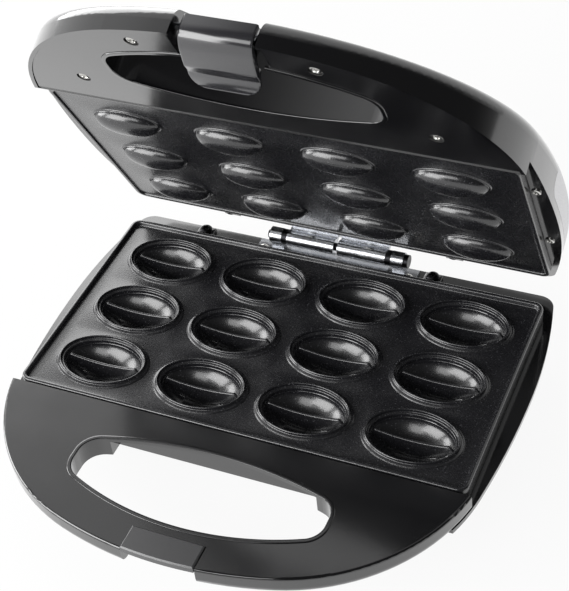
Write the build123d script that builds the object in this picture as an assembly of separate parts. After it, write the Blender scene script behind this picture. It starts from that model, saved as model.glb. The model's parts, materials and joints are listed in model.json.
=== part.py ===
from build123d import *
from math import asin, atan2, cos, degrees, radians, sin, sqrt
import os

# Electric nut cookie maker: a clamshell iron that bakes twelve half shells at once.
# Frame: +X to the right, +Y to the back, +Z up, millimetres. Every piece is first drawn
# about the centre of the lower baking plate, with the lid shut. The lid and its latch are
# then turned open about the hinge, and the whole is set down with its feet at Z = 0.

# Baking plates
plate_length = 220.0
plate_width = 122.0
plate_corner_radius = 5.0
plate_thickness = 3.0
plate_skirt_wall = 2.6
base_skirt_depth = 6.0
lid_skirt_depth = 3.5
rim_width = 2.4
rim_height = 2.45
lid_rim_height = 1.0
plate_gap = 5.5
# Share of the depth or height, and share of the size, at each level section
bowl_shares = ((0.0, 1.0), (0.42, 0.935), (0.78, 0.74), (1.0, 0.34))
cup_shares = ((0.0, 1.0), (0.66, 0.84), (1.0, 0.34))
dome_shares = ((0.0, 1.0), (0.42, 0.925), (0.78, 0.68), (1.0, 0.3))
lug_half_width = 4.5
rear_screw_x = (-73.0, 51.0)
rear_screw_y = 68.6
lid_lug_x = (-60.0, 60.0)

# Twelve moulds, in columns along X and rows along Y
mould_columns = 4
mould_rows = 3
mould_pitch_x = 51.67
mould_pitch_y = 37.22
collar_foot = (23.2, 16.8)
collar_crest = (21.6, 15.2)
collar_height = 2.2
ledge_size = (20.4, 13.9)
ledge_level = 0.6
bowl_size = (19.4, 13.0)
bowl_edge_level = -1.2
bowl_depth = 10.0
bowl_wall = 2.0
ridge_crest_level = -2.0
ridge_sag_radius = 89.0
ridge_tip_width = 0.9
ridge_root_width = 3.6
dome_size = (16.4, 9.0)
dome_height = 6.5
dome_foot_margin = 1.7
dome_foot_height = 0.6

# Plan outlines of the shells: reach to the front, widest line and rear edge of each
base_outline = (136.0, 10.0, 74.3)
lid_outline = (140.7, 2.5, 72.6)
front_radius = 177.0
front_half_chord = 50.0
corner_radius = 90.6
half_width = 118.7
side_rear_radius = 255.0
rear_corner_radius = 8.0

# Finger slot through both handles
slot_half_length = 60.3
slot_rear_y = -75.5
slot_rear_radius = 195.0
slot_front_y = -117.3
slot_front_radius = 135.0
slot_end_radius = 10.0
slot_lip_width = 1.6
slot_lip_height = 0.4
slot_lip_gap = 0.35
lid_slot_shift = -4.7
tub_slot_half_length = 50.0

# Lower shell
wall = 2.5
cover_top = 2.25
cover_thickness = 2.0
handle_start_y = -62.0
handle_floor_level = -8.3
handle_edge_radius = 4.5
flange_level = -6.0
flange_overlap = 4.0
tub_floor_level = -36.0
tub_lean_deg = 16.0
tub_front_y = -75.4
tub_front_foot_y = -54.0
tub_edge = 5.0
tub_inset = 2.5
tub_corner_radius = 50.0
foot_radius = 7.5
foot_height = 4.0
foot_recess = 1.5
foot_x = 82.0
foot_front_y = -38.0
foot_rear_y = 50.0
post_x = 60.0
post_y = 43.0
post_radius = 3.2
cord_x = 78.0
cord_z = -21.0
cord_hole_radius = 6.0
cord_bore_radius = 3.6

# Lid shell
crown_height = 38.0
crown_radius_x = 600.0
crown_radius_y = 382.0
lid_edge_radius = 7.5
lid_flange_level = 9.0
lid_handle_start_y = -63.0
cover_inset = 1.8
panel_thickness = 0.8
panel_gap = 0.1
panel_front_y = -26.0
panel_rear_y = 50.0
panel_side_level = 13.0
panel_corner_radius = 7.0
lamp_x = 9.0
lamp_y = -52.0
lamp_radius = 3.6

# Hinge
hinge_y = 70.8
hinge_z = 1.66
lid_open_deg = 61.7
knuckle_radius = 4.1
pin_radius = 2.0
pin_clearance = 0.05
knuckle_gap = 0.1
middle_gap = 2.1
long_knuckle_end = 26.5
spacer_end = 29.35
short_knuckle_end = 35.85
pin_head_length = 2.3
bracket_thickness = 1.5
bracket_half_length = 43.0

# Latch
latch_half_width = 15.8
latch_wall = 3.4
latch_pivot_y = -130.5
latch_pivot_z = 11.0
latch_pin_radius = 1.5
latch_boss_radius = 4.0
latch_face_y = -140.0
latch_tip_z = -12.4
latch_hang_deg = 70.7
latch_corner_radius = 7.0
latch_hook_reach = 1.7
notch_half_width = 18.5
catch_half_width = 17.0
catch_rear_y = -123.0
catch_rise = 1.2
catch_pocket_y = -128.5

# Fasteners
screw_shank_radius = 1.45
screw_head_radius = 2.8
screw_head_height = 1.2
screw_hole_clearance = 0.15
base_handle_screws = ((40.0, -121.5), (81.0, -78.0))
lid_handle_screws = ((39.4, -126.1), (79.7, -83.0))
lid_screw_seat = 1.3
boss_radius = 4.2
flange_screw_x = 112.7
flange_screw_y = (-32.7, 21.7)
hinge_base_screw_x = 39.0
hinge_lid_screw_x = 16.0
hinge_lid_screw_y = 64.4

# Heating parts
heater_radius = 3.1
heater_gap = 0.2
heater_left_x = -96.0
reflector_level = -16.5
reflector_thickness = 0.6
thermostat_radius = 8.0

# Room left between solids that must not touch
seat_gap = 0.1
slip_gap = 0.4
FAR = 200.0

mating_level = plate_gap / 2
lid_cover_level = mating_level + 0.55
lid_bar_level = lid_cover_level + cover_thickness
crown_level = mating_level + crown_height
thermostat_seat = -bowl_depth - bowl_wall - 1.6
lug_top = flange_level + 2.5
tub_floor_top = tub_floor_level + wall
pieces = {}


def arc(centre, radius, start_deg, end_deg):
    """Circular arc in plan, from one bearing to another about its centre."""
    middle = (start_deg + end_deg) / 2
    ends = [
        (centre[0] + radius * cos(radians(a)), centre[1] + radius * sin(radians(a)))
        for a in (start_deg, middle, end_deg)
    ]
    return ThreePointArc(*ends)


def shell_plan(outline, inset=0.0):
    """Plan of a shell: four tangent arcs a side, closed by a straight rear edge."""
    front_reach, widest_y, rear_y = outline
    front_centre_y = front_radius - front_reach
    front_end_y = front_centre_y - sqrt(front_radius**2 - front_half_chord**2)
    towards_x = -front_half_chord / front_radius
    towards_y = (front_centre_y - front_end_y) / front_radius
    corner = (
        front_half_chord + corner_radius * towards_x,
        front_end_y + corner_radius * towards_y,
    )
    across = half_width - corner[0]
    rise = widest_y - corner[1]
    side_radius = (across**2 + rise**2 - corner_radius**2) / (2 * (across - corner_radius))
    side = (half_width - side_radius, widest_y)
    side_start = degrees(atan2(corner[1] - side[1], corner[0] - side[0]))
    front_start = degrees(asin(front_half_chord / front_radius)) - 90
    rear_side = (half_width - side_rear_radius, widest_y)
    rear_end = degrees(asin((rear_y - widest_y) / side_rear_radius))
    rear_x = rear_side[0] + side_rear_radius * cos(radians(rear_end))
    half = [
        arc((0, front_centre_y), front_radius, -90, front_start),
        arc(corner, corner_radius, front_start, side_start),
        arc(side, side_radius, side_start, 0),
        arc(rear_side, side_rear_radius, 0, rear_end),
        Line((rear_x, rear_y), (0, rear_y)),
    ]
    edges = half + [mirror(edge, Plane.YZ) for edge in half]
    plan = make_face(Wire.combine(edges)[0])
    rear_corners = plan.vertices().sort_by(Axis.Y)[-3:]
    rear_corners = [v for v in rear_corners if abs(v.X) > 1]
    plan = fillet(rear_corners, rear_corner_radius)
    return offset(plan, -inset, kind=Kind.INTERSECTION) if inset else plan


def slot_plan(margin=0.0):
    """Plan of the finger slot: a shallow rear arc, a deeper front arc and round ends."""
    rear_fall = slot_rear_radius - sqrt(slot_rear_radius**2 - slot_half_length**2)
    front_rise = slot_front_radius - sqrt(slot_front_radius**2 - slot_half_length**2)
    end_rear = slot_rear_y - rear_fall
    end_front = slot_front_y + front_rise
    edges = [
        ThreePointArc((-slot_half_length, end_rear), (0, slot_rear_y), (slot_half_length, end_rear)),
        Line((slot_half_length, end_rear), (slot_half_length, end_front)),
        ThreePointArc((slot_half_length, end_front), (0, slot_front_y), (-slot_half_length, end_front)),
        Line((-slot_half_length, end_front), (-slot_half_length, end_rear)),
    ]
    plan = make_face(Wire.combine(edges)[0])
    plan = fillet(plan.vertices(), slot_end_radius)
    return offset(plan, margin) if margin else plan


def tub_slot_plan(margin=0.0):
    """Plan of the slot through the lower shell: its rear side is the straight front of the tub."""
    opening = Pos(0, (tub_front_y + slot_front_y) / 2 + 10) * Rectangle(
        2 * tub_slot_half_length, tub_front_y - slot_front_y - 20)
    opening = offset(opening, margin, kind=Kind.INTERSECTION) if margin else opening
    return slot_plan(margin) + opening


def prism(plan, low, high):
    """Upright prism of a plan between two levels."""
    return extrude(Pos(0, 0, low) * plan, amount=high - low, dir=(0, 0, 1))


def block(x, y, z):
    """Box between two corners, given as low and high pairs."""
    size = [max(pair) - min(pair) for pair in (x, y, z)]
    middle = [(pair[0] + pair[1]) / 2 for pair in (x, y, z)]
    return Pos(*middle) * Box(*size)


def rod(x, y, low, high, radius):
    """Upright cylinder between two levels."""
    return Pos(x, y, (low + high) / 2) * Cylinder(radius, high - low)


def cross_rod(x, y, z, radius):
    """Cylinder along X between two ends."""
    return Pos((x[0] + x[1]) / 2, y, z) * Rot(0, 90, 0) * Cylinder(radius, x[1] - x[0])


def between(front_y, rear_y, low=-80.0, high=80.0):
    """Block across the whole width, from one line to another."""
    return block((-FAR, FAR), (front_y, rear_y), (low, high))


def handle_plan(outline, inset, start_y):
    """Part of a shell's plan in front of the plates."""
    return shell_plan(outline, inset) & between(-FAR, start_y, -1, 1)


def ellipse_stack(sections, ruled=True):
    """Solid through level ellipses, each given as half length, half width and level."""
    faces = [Pos(0, 0, z) * Ellipse(a, b) for a, b, z in sections]
    return loft(faces, ruled=ruled)


def mould_places():
    """Centres of the moulds, row by row."""
    for row in range(mould_rows):
        for column in range(mould_columns):
            x = (column - (mould_columns - 1) / 2) * mould_pitch_x
            y = (row - (mould_rows - 1) / 2) * mould_pitch_y
            yield x, y


def bowl_sections(shares, grow=0.0, floor_drop=0.0):
    """Level sections of a bowl: a steep wall that turns into a shallow round floor."""
    depth = bowl_depth + bowl_edge_level
    for depth_share, size_share in shares:
        level = bowl_edge_level - depth * depth_share - floor_drop * depth_share
        yield bowl_size[0] * size_share + grow, bowl_size[1] * size_share + grow, level


def mould_cut():
    """Hollow of one mould: crest, inner wall, ledge and bowl."""
    mouth = ellipse_stack([
        (collar_crest[0] - 0.5, collar_crest[1] - 0.5, collar_height + 1),
        (collar_crest[0] - 0.5, collar_crest[1] - 0.5, collar_height - 0.5),
        (ledge_size[0], ledge_size[1], ledge_level),
    ])
    throat = ellipse_stack([
        (bowl_size[0] + 0.4, bowl_size[1] + 0.4, ledge_level),
        (bowl_size[0], bowl_size[1], bowl_edge_level),
    ])
    return mouth + throat + ellipse_stack(bowl_sections(bowl_shares))


def mould_ridge(hollow):
    """Lengthwise rib that parts a bowl, its crest sagging on a wide arc."""
    root = ridge_crest_level - bowl_depth
    centre_z = ridge_crest_level + ridge_sag_radius
    profile = make_face(Polyline(
        (0, -ridge_tip_width / 2, ridge_crest_level),
        (0, ridge_tip_width / 2, ridge_crest_level),
        (0, ridge_root_width / 2, root),
        (0, -ridge_root_width / 2, root),
        close=True,
    ))
    axis = Axis((0, 0, centre_z), (0, 1, 0))
    rib = revolve(profile.rotate(axis, -14), axis, 28)
    return rib & hollow


def collar():
    """Raised lip round one mould, with sloping sides and a narrow level crest."""
    return ellipse_stack([
        (collar_foot[0], collar_foot[1], -0.5),
        (collar_foot[0], collar_foot[1], 0),
        (collar_crest[0], collar_crest[1], collar_height),
    ])


def plate_tray(skirt_depth, bead_height):
    """Plain plate with its rim bead and its downturned skirt."""
    outline = RectangleRounded(plate_length, plate_width, plate_corner_radius)
    inner = offset(outline, -plate_skirt_wall)
    bead_inner = offset(outline, -rim_width)
    body = prism(outline, -skirt_depth, 0)
    body -= prism(inner, -skirt_depth - 1, -plate_thickness)
    bead = prism(outline, 0, bead_height) - prism(bead_inner, 0, bead_height + 1)
    bead = fillet(bead.edges().group_by(Axis.Z)[-1], min(rim_width, bead_height) * 0.42)
    return body + bead


def base_plate():
    """Lower plate: twelve bowls, each with its collar and dividing ridge."""
    plate = plate_tray(base_skirt_depth, rim_height)
    hollow = mould_cut()
    cup = ellipse_stack(bowl_sections(cup_shares, bowl_wall, bowl_wall))
    cup += ellipse_stack([
        (bowl_size[0] + bowl_wall, bowl_size[1] + bowl_wall, bowl_edge_level),
        (bowl_size[0] + bowl_wall, bowl_size[1] + bowl_wall, -0.2),
    ])
    mould = collar() + cup - hollow + mould_ridge(hollow)
    places = [Pos(x, y, 0) for x, y in mould_places()]
    plate -= [place * ellipse_stack([
        (bowl_size[0] + 1, bowl_size[1] + 1, -plate_thickness - 1),
        (bowl_size[0] + 1, bowl_size[1] + 1, 1),
    ]) for place in places]
    plate = plate + [place * mould for place in places]
    plate += rod(0, 0, thermostat_seat, -plate_thickness + 0.5, 3.2)
    for x in rear_screw_x:
        lug = block((x - lug_half_width, x + lug_half_width),
                    (plate_width / 2 - 2, rear_screw_y + 3.2), (flange_level, lug_top))
        plate += lug - rod(x, rear_screw_y, flange_level - 1, lug_top + 1, screw_shank_radius + 0.3)
    return plate


def dome():
    """One half-nut core: a thin foot ring under a smooth long dome."""
    foot = (dome_size[0] + dome_foot_margin, dome_size[1] + dome_foot_margin)
    ring = ellipse_stack([
        (foot[0] + 0.4, foot[1] + 0.4, -0.5),
        (foot[0] + 0.4, foot[1] + 0.4, 0),
        (foot[0], foot[1], dome_foot_height),
    ])
    body = [
        (dome_size[0] * size, dome_size[1] * size, 0.2 + (dome_height - 0.2) * height)
        for height, size in dome_shares
    ]
    return ring + ellipse_stack(body)


def lid_plate():
    """Upper plate with twelve domes, drawn face up and then turned over."""
    plate = plate_tray(lid_skirt_depth, lid_rim_height)
    plate = plate + [Pos(x, y, 0) * dome() for x, y in mould_places()]
    for x in lid_lug_x:
        lug = block((x - lug_half_width, x + lug_half_width),
                    (-plate_width / 2 + 2, -rear_screw_y - 2.5),
                    (-lid_skirt_depth, -lid_skirt_depth + 1.5))
        hole = rod(x, -rear_screw_y + 3, -10, 10, screw_shank_radius + 0.3)
        plate += lug - hole
    return Pos(0, 0, plate_gap) * Rot(180, 0, 0) * plate


def heater(under_level, upward):
    """Tubular element: two long runs between the rows of moulds and a round end."""
    run_y = mould_pitch_y / 2
    bend_x = plate_length / 2 - plate_skirt_wall - 5.0 - run_y
    level = under_level - upward * (heater_radius + heater_gap)
    path = Wire([
        Line((heater_left_x, -run_y, level), (bend_x, -run_y, level)),
        ThreePointArc((bend_x, -run_y, level), (bend_x + run_y, 0, level), (bend_x, run_y, level)),
        Line((bend_x, run_y, level), (heater_left_x, run_y, level)),
    ])
    start = Plane(origin=(heater_left_x, -run_y, level), z_dir=(1, 0, 0))
    tube = sweep(start * Circle(heater_radius), path)
    for y in (-run_y, run_y):
        tube += cross_rod((heater_left_x - 7, heater_left_x + 1), y, level, 1.2)
    return tube


def reflector(level, upward):
    """Thin bright tray behind the heater, its edges turned towards the plate."""
    outline = RectangleRounded(plate_length - 18, plate_width - 18, 4)
    inner = offset(outline, -reflector_thickness)
    lip = 3.0
    low, high = sorted((level, level + upward * lip))
    tray = prism(outline, low, high)
    if upward > 0:
        tray -= prism(inner, low + reflector_thickness, high + 1)
    else:
        tray -= prism(inner, low - 1, high - reflector_thickness)
    return tray


def paired(places):
    """Places on both sides of the middle."""
    return [(side * x, y) for x, y in places for side in (-1, 1)]


def rods(places, low, high, radius):
    """The same upright cylinder at several places."""
    return [rod(x, y, low, high, radius) for x, y in places]


def tub_body(inset, top, floor, edge):
    """Leaning tub under the plate, eased at its foot, its front wall sloped well back."""
    rounded = RectangleRounded(2 * (half_width - tub_inset - inset), FAR, tub_corner_radius - inset)
    plan = shell_plan(base_outline, tub_inset + inset)
    plan &= Pos(0, tub_front_y + inset + FAR / 2) * rounded
    knee = floor + edge
    side = extrude(Pos(0, 0, top) * plan, amount=top - knee, dir=(0, 0, -1), taper=tub_lean_deg)
    foot = side.faces().sort_by(Axis.Z)[0]
    body = side + extrude(foot, amount=edge, dir=(0, 0, -1), taper=45)
    drop = handle_floor_level - tub_floor_level
    lean = degrees(atan2(tub_front_foot_y - tub_front_y, drop))
    wedge = Pos(0, tub_front_y + inset / cos(radians(lean)), handle_floor_level)
    wedge *= Rot(lean, 0, 0)
    return body - wedge * Pos(0, -100, -50) * Box(400, 200, 200)


def bow_form():
    """Outside of the lower handle, round along its lower edge."""
    bow = prism(handle_plan(base_outline, 0, handle_start_y), handle_floor_level,
                cover_top - cover_thickness)
    low_edges = bow.edges().group_by(Axis.Z)[0].filter_by(GeomType.CIRCLE)
    return fillet(low_edges, handle_edge_radius)


def base_housing():
    """Lower shell: tub, side flanges that carry the plate, and the hollow handle."""
    bow = bow_form()
    flange = prism(shell_plan(base_outline), handle_floor_level, flange_level)
    flange &= between(tub_front_y, FAR)
    shell = bow + flange + tub_body(0.0, handle_floor_level, tub_floor_level, tub_edge)
    shell -= prism(tub_slot_plan(), handle_floor_level, cover_top + 1)
    shell -= prism(slot_plan(), tub_floor_level - 1, handle_floor_level + 1)
    pocket = prism(handle_plan(base_outline, wall, handle_start_y - wall), flange_level, cover_top)
    pocket -= prism(tub_slot_plan(wall), flange_level - 1, cover_top + 1)
    pocket -= rods(paired(base_handle_screws), flange_level - 1, flange_level + 3,
                   screw_head_radius + 2)
    shell -= pocket
    shell -= tub_body(wall, handle_floor_level + 0.2, tub_floor_top, tub_edge)
    reach = catch_half_width + slip_gap
    recess = block((-reach, reach), (-FAR, catch_pocket_y),
                   (handle_floor_level - 1, cover_top - cover_thickness))
    back = block((-reach - wall, reach + wall), (-FAR, catch_pocket_y + wall),
                 (handle_floor_level, cover_top - cover_thickness))
    shell = shell + (back & bow) - recess
    seat = RectangleRounded(plate_length - 2 * flange_overlap, plate_width - 2 * flange_overlap, 4)
    shell -= prism(seat, handle_floor_level - 1, flange_level + 1)
    for x, y in paired(base_handle_screws):
        shell -= rod(x, y, -20, cover_top, screw_shank_radius + screw_hole_clearance)
        shell -= rod(x, y, -20, handle_floor_level + 1.6, screw_head_radius + 0.3)
    shell -= rods(foot_places(), tub_floor_level - 1, tub_floor_level + foot_recess,
                  foot_radius + 0.15)
    shell += rods(foot_places(), tub_floor_level + foot_recess, tub_floor_top + 1.5, foot_radius + 2)
    shell += rods(reflector_posts(), tub_floor_level + 0.5, reflector_level, post_radius)
    shell += cord_boss()
    shell -= cord_hole()
    holes = [(x, rear_screw_y) for x in rear_screw_x] + base_hinge_screws()
    shell -= rods(holes, handle_floor_level - 1, flange_level + 1, screw_shank_radius + 0.1)
    return shell


def foot_places():
    """Centres of the four feet."""
    return [(sx * foot_x, y) for y in (foot_front_y, foot_rear_y) for sx in (-1, 1)]


def reflector_posts():
    """Centres of the four posts that carry the lower reflector."""
    return [(sx * post_x, sy * post_y) for sy in (-1, 1) for sx in (-1, 1)]


def along_y(face_y, length, radius):
    """Cylinder along Y at the cord's entry, from a face towards the front."""
    return Pos(cord_x, face_y - length / 2, cord_z) * Rot(90, 0, 0) * Cylinder(radius, length)


def cord_boss():
    """Flat-faced boss on the leaning rear wall, where the mains lead would enter."""
    return along_y(base_outline[2] - 1.0, 14.0, cord_hole_radius + 3)


def cord_hole():
    """Hole along Y through the boss."""
    return along_y(base_outline[2] + 5.0, 30.0, cord_hole_radius)


def cord_gland():
    """Rubber bushing with an outer collar and a through bore."""
    face = base_outline[2] - 1.0
    sleeve = along_y(face, 14.0, cord_hole_radius - 0.05)
    collar_ring = along_y(face + 3.0, 3.0, cord_hole_radius + 2)
    return sleeve + collar_ring - along_y(face + 16.0, 40.0, cord_bore_radius)


def base_handle_cover():
    """Top skin of the lower handle, notched for the catch and lipped round the slot."""
    plan = handle_plan(base_outline, 0, handle_start_y)
    low = cover_top - cover_thickness
    cover = prism(plan, low, cover_top)
    outer = [e for e in cover.edges().group_by(Axis.Z)[-1] if e.geom_type == GeomType.CIRCLE]
    cover = fillet(outer, 1.2)
    lip = prism(slot_plan(slot_lip_width), cover_top - 1, cover_top + slot_lip_height)
    lip -= prism(slot_plan(), low - 1, cover_top + 5)
    lip = fillet(lip.edges().group_by(Axis.Z)[-1], slot_lip_height * 0.8)
    cover = cover - prism(slot_plan(), low - 1, cover_top + 5) + lip
    cover += rods(paired(base_handle_screws), flange_level + 3 + seat_gap, low + 0.5, boss_radius)
    cover -= rods(paired(base_handle_screws), flange_level, low - 0.2, screw_shank_radius + 0.05)
    notch = block((-catch_half_width - slip_gap, catch_half_width + slip_gap),
                  (-FAR, catch_rear_y + slip_gap), (low - 1, cover_top + 5))
    return cover - notch


def latch_catch():
    """Catch pad let into the front of the lower handle, with an easy front edge."""
    low = cover_top - cover_thickness
    plan = shell_plan(base_outline)
    plan &= block((-catch_half_width, catch_half_width), (-FAR, catch_rear_y), (-1, 1))
    pad = prism(plan, low, cover_top + catch_rise)
    return chamfer(pad.edges().group_by(Axis.Z)[-1], catch_rise * 0.5)


def lid_form(inset=0.0):
    """Lid body: a crown arc carried round a wide arc front to back, within the plan."""
    centre_z = crown_level - crown_radius_y
    top = crown_level - inset
    drop = crown_radius_x - sqrt(crown_radius_x**2 - 150.0**2)
    profile = make_face(Wire.combine([
        ThreePointArc((-150, 0, top - drop), (0, 0, top), (150, 0, top - drop)),
        Line((150, 0, top - drop), (150, 0, -60)),
        Line((150, 0, -60), (-150, 0, -60)),
        Line((-150, 0, -60), (-150, 0, top - drop)),
    ])[0])
    axis = Axis((0, 0, centre_z), (1, 0, 0))
    sweep_deg = 56
    turned = profile.rotate(axis, -sweep_deg / 2)
    crown = revolve(turned, axis, sweep_deg)
    body = prism(shell_plan(lid_outline, inset), mating_level + seat_gap + inset, crown_level + 5) & crown
    top_face = body.faces().filter_by(GeomType.PLANE, reverse=True).sort_by(Axis.Z)[-1]
    return fillet(top_face.edges(), lid_edge_radius - inset)


def panel_band(margin=0.0):
    """Band across the lid that the metal panel covers, down to the side seams."""
    height = crown_level + 20 - panel_side_level
    face = Plane.YZ * Pos((panel_front_y + panel_rear_y) / 2, panel_side_level + height / 2)
    band = face * RectangleRounded(panel_rear_y - panel_front_y + 2 * margin, height + 2 * margin,
                                   panel_corner_radius)
    return extrude(band, amount=200, both=True)


def lid_slot(margin=0.0):
    """Plan of the slot through the upper handle."""
    return Pos(0, lid_slot_shift) * slot_plan(margin)


def lid_notch(margin, low, high):
    """Gap in the upper handle's front bar, open to the slot, where the latch hangs."""
    reach = notch_half_width + margin
    return block((-reach, reach), (-FAR, slot_front_y + lid_slot_shift + 3), (low, high))


def lid_housing():
    """Upper shell: crowned cover over the plate and a deep hollow handle."""
    outer = lid_form()
    sheet_room = outer - lid_form(panel_thickness)
    outer -= sheet_room & panel_band(0.15)
    outer -= between(lid_handle_start_y, FAR, -80, lid_flange_level)
    shell = outer - lid_form(wall + panel_thickness)
    handle_room = between(-FAR, lid_handle_start_y) & outer
    walls = prism(lid_slot(wall), lid_bar_level, 60)
    walls += between(lid_handle_start_y - wall, lid_handle_start_y, lid_bar_level, 60)
    walls += lid_notch(wall, lid_bar_level, 60) & between(-FAR, slot_front_y + lid_slot_shift + 1)
    walls += rods(paired(lid_handle_screws), lid_bar_level, 60, boss_radius)
    walls += prism(lid_slot(slot_lip_width), lid_cover_level - slot_lip_height, lid_bar_level)
    shell += walls & handle_room
    shell += lid_flange() & outer
    shell -= prism(lid_slot(), -20, 80)
    shell -= lid_notch(0.0, -20, 80)
    cover_room = prism(handle_plan(lid_outline, cover_inset, lid_handle_start_y - slip_gap),
                       -20, lid_bar_level)
    shell -= cover_room - prism(lid_slot(slot_lip_width), -20, 20)
    shell -= rods(paired(lid_handle_screws), -5, lid_bar_level + 8, screw_shank_radius + 0.05)
    shell -= cross_rod((-notch_half_width - 2, notch_half_width + 2), latch_pivot_y, latch_pivot_z,
                       latch_pin_radius + 0.02)
    shell -= rods([(-lamp_x, lamp_y), (lamp_x, lamp_y)], 0, 80, lamp_radius + 0.05)
    holes = lid_hinge_screws() + lid_plate_screws() + flange_screws()
    shell -= rods(holes, lid_flange_level - 5, lid_flange_level + 6, screw_shank_radius + 0.05)
    return shell


def lid_flange():
    """Level flange round the lid's underside, open over the plate."""
    flange = prism(shell_plan(lid_outline), lid_flange_level, lid_flange_level + wall)
    flange -= between(-FAR, lid_handle_start_y)
    seat = RectangleRounded(plate_length - 2 * flange_overlap, plate_width - 2 * flange_overlap, 4)
    flange -= prism(seat, -80, 80)
    places = lid_hinge_screws() + lid_plate_screws() + flange_screws()
    return flange + rods(places, lid_flange_level, lid_flange_level + wall + 4, 3.4)


def lid_top_panel():
    """Brushed sheet that wraps over the crown and down both sides."""
    sheet = lid_form() & panel_band()
    return sheet - lid_form(panel_thickness - panel_gap)


def lid_handle_cover():
    """Underside skin of the upper handle, let into the shell round the slot's lip."""
    plan = handle_plan(lid_outline, cover_inset + slip_gap / 2, lid_handle_start_y - slip_gap)
    cover = prism(plan, lid_cover_level, lid_bar_level)
    cover -= prism(lid_slot(slot_lip_width + slot_lip_gap), -20, 20)
    cover -= lid_notch(1.5, -20, 20)
    cover -= rods(paired(lid_handle_screws), -20, 20, screw_shank_radius + 0.15)
    cover -= rods(paired(lid_handle_screws), -20, lid_cover_level + lid_screw_seat,
                  screw_head_radius + 0.4)
    return cover


def pan_screw(x, y, seat, tip, upward, head=screw_head_radius, head_height=screw_head_height):
    """Pan-head screw with its head on the seat and its shank towards the tip."""
    head_end = seat - upward * head_height
    shank = rod(x, y, min(seat, tip), max(seat, tip), screw_shank_radius)
    return shank + rod(x, y, min(seat, head_end), max(seat, head_end), head)


def base_hinge_screws():
    """Places of the screws that hold the lower hinge bracket."""
    return [(sx * hinge_base_screw_x, rear_screw_y - 3.0) for sx in (-1, 1)]


def lid_hinge_screws():
    """Places of the screws that hold the upper hinge bracket."""
    return [(sx * hinge_lid_screw_x, hinge_lid_screw_y) for sx in (-1, 1)]


def lid_plate_screws():
    """Places of the rear screws of the upper plate."""
    return [(x, rear_screw_y - 3.0) for x in lid_lug_x]


def flange_screws():
    """Places of the screws in the lid's side flanges."""
    return [(sx * flange_screw_x, y) for sx in (-1, 1) for y in flange_screw_y]


def barrel(start, end, radius=knuckle_radius):
    """Hinge knuckle along X, bored for the pin."""
    bored = cross_rod((start, end), hinge_y, hinge_z, radius)
    return bored - cross_rod((start - 1, end + 1), hinge_y, hinge_z, pin_radius + pin_clearance)


def hinge_base_bracket():
    """Lower bracket: a strap on the rear flange and the two short outer knuckles."""
    strap_top = flange_level + bracket_thickness
    strap = block((-bracket_half_length, bracket_half_length), (plate_width / 2 + 1, hinge_y + 1.8),
                  (flange_level, strap_top))
    for x, y in base_hinge_screws():
        strap -= rod(x, y, -20, 20, screw_shank_radius + 0.1)
    for side in (-1, 1):
        ends = sorted((side * (spacer_end + knuckle_gap), side * short_knuckle_end))
        leaf = block(ends, (hinge_y - 1.5, hinge_y + 1.8), (strap_top - 0.2, hinge_z))
        leaf -= cross_rod((ends[0] - 1, ends[1] + 1), hinge_y, hinge_z, pin_radius + pin_clearance)
        strap += leaf + barrel(*ends)
    return strap


def hinge_lid_bracket():
    """Upper bracket: a strap under the lid flange and the two long middle knuckles."""
    strap = block((-long_knuckle_end, long_knuckle_end), (plate_width / 2 + 1, hinge_y + 1.2),
                  (lid_flange_level - bracket_thickness, lid_flange_level))
    for x, y in lid_hinge_screws():
        strap -= rod(x, y, -20, 20, screw_shank_radius + 0.1)
    for side in (-1, 1):
        ends = sorted((side * middle_gap / 2, side * long_knuckle_end))
        leaf = block(ends, (hinge_y - 1.2, hinge_y + 1.2),
                     (hinge_z, lid_flange_level - bracket_thickness + 0.2))
        leaf -= cross_rod((ends[0] - 1, ends[1] + 1), hinge_y, hinge_z, pin_radius + pin_clearance)
        strap += leaf + barrel(*ends)
    return strap


def hinge_pin():
    """Steel pin through all four knuckles, headed at its right end."""
    pin = cross_rod((-short_knuckle_end - 1.5, short_knuckle_end + 0.1), hinge_y, hinge_z, pin_radius)
    return pin + cross_rod((short_knuckle_end + 0.05, short_knuckle_end + pin_head_length),
                           hinge_y, hinge_z, pin_radius + 1.4)


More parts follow.
